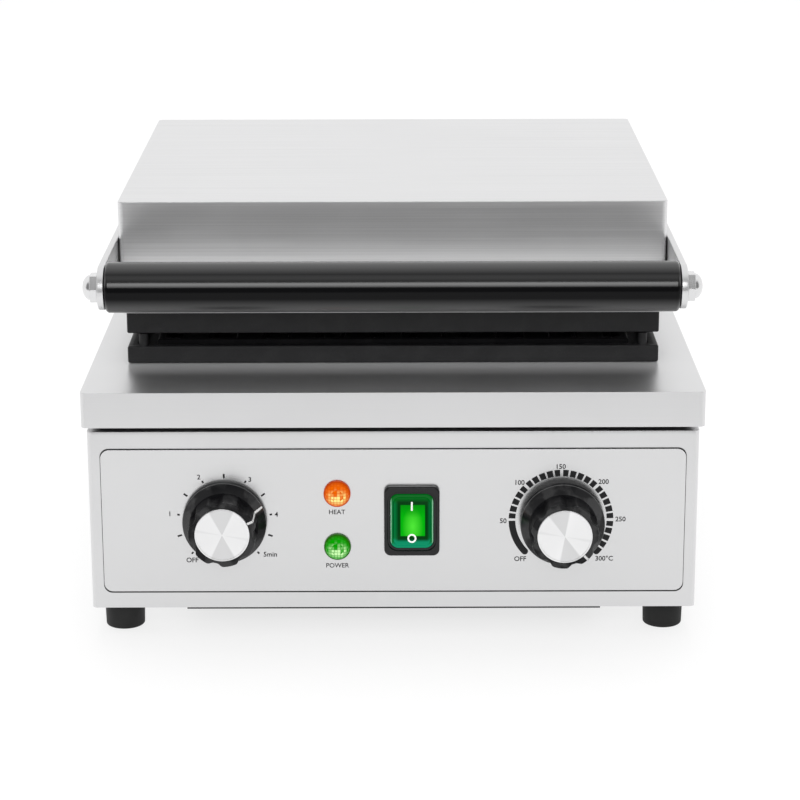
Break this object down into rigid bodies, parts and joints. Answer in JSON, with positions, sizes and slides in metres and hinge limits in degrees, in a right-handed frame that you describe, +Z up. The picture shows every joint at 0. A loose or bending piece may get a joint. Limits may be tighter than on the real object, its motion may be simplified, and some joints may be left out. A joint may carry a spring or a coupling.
{
  "type": "belgian waffle maker",
  "caption": "Countertop belgian waffle maker: steel base with dial, lamp and rocker controls, cast pocket plates, hinged lid with a round bar handle.",
  "frame": {"origin": "on the table, under the middle of the machine's overall width and depth", "axes": "+X to the right seen from the front, +Y to the back, +Z up"},
  "size_m": [0.284, 0.3392, 0.198],
  "materials": {
    "body_steel": "fine satin stainless sheet",
    "brushed_lid": "brushed along the width",
    "panel_steel": "satin panel with printed scales",
    "bright_steel": "bright turned steel",
    "dark_steel": "dark sheet steel",
    "plate_coating": "cast plate with a dark non-stick coating",
    "element_steel": "oxidised tubular element",
    "shield_metal": "bright reflector sheet",
    "insulation": "ceramic fibre mat",
    "copper": "drawn copper",
    "control_case": "moulded",
    "black_plastic": "moulded black, softly glossy",
    "grip_black": "polished heat-resistant grip",
    "spun_cap": "spun face with a radial sheen",
    "orange_lens": "lit translucent lens with a prism grid",
    "green_lens": "lit translucent lens with a prism grid",
    "seal_green": "translucent moulded seal",
    "rocker_green": "lit translucent rocker",
    "rubber": "moulded rubber"
  },
  "bodies": {
    "base": {"housing_shell": "body_steel", "rear_panel": "body_steel", "bottom_cover": "dark_steel", "deck_frame": "dark_steel", "top_deck": "body_steel", "control_panel": "panel_steel", "foot_front_left": "rubber", "foot_front_right": "rubber", "foot_rear_left": "rubber", "foot_rear_right": "rubber", "lower_plate": "plate_coating", "lower_element": "element_steel", "lower_heat_shield": "shield_metal", "lower_insulation": "insulation", "thermostat_bulb": "copper", "timer_case": "control_case", "timer_nut": "bright_steel", "thermostat_case": "control_case", "thermostat_nut": "bright_steel", "heat_lamp_body": "control_case", "heat_lamp_lens": "orange_lens", "power_lamp_body": "control_case", "power_lamp_lens": "green_lens", "switch_frame": "black_plastic", "switch_seal": "seal_green", "terminal_block": "control_case", "cable_gland": "black_plastic", "gland_nut": "black_plastic", "hinge_tube": "bright_steel", "hinge_bracket_left": "body_steel", "hinge_bracket_right": "body_steel", "hinge_clip_left": "bright_steel", "hinge_clip_right": "bright_steel"},
    "lid": {"lid_cover": "brushed_lid", "lid_frame": "dark_steel", "upper_plate": "plate_coating", "upper_element": "element_steel", "upper_heat_shield": "shield_metal", "upper_insulation": "insulation", "handle_grip": "grip_black", "handle_rod": "bright_steel", "handle_arm_left": "body_steel", "handle_arm_right": "body_steel", "handle_nut_left": "bright_steel", "handle_nut_right": "bright_steel", "lid_hinge_arm_left": "body_steel", "lid_hinge_arm_right": "body_steel"},
    "timer_dial": {"timer_shaft": "bright_steel", "timer_knob": "black_plastic", "timer_knob_cap": "spun_cap"},
    "thermostat_dial": {"thermostat_shaft": "bright_steel", "thermostat_knob": "black_plastic", "thermostat_knob_cap": "spun_cap"},
    "rocker": {"switch_rocker": "rocker_green"}
  },
  "joints": [
    {"name": "lid_hinge", "type": "hinge", "parent": "base", "child": "lid", "pos_m": [0, 0.13965, 0.1318], "axis": [-1, 0, 0], "range_deg": [0, 100]},
    {"name": "timer_turn", "type": "hinge", "parent": "base", "child": "timer_dial", "pos_m": [-0.0776, -0.14475, 0.05765], "axis": [0, -1, 0], "range_deg": [-67.5, 202.5]},
    {"name": "thermostat_turn", "type": "hinge", "parent": "base", "child": "thermostat_dial", "pos_m": [0.0776, -0.14475, 0.05765], "axis": [0, -1, 0], "range_deg": [0, 270]},
    {"name": "rocker_tilt", "type": "hinge", "parent": "base", "child": "rocker", "pos_m": [0.0085, -0.14735, 0.0581], "axis": [1, 0, 0], "range_deg": [0, 24]}
  ]
}
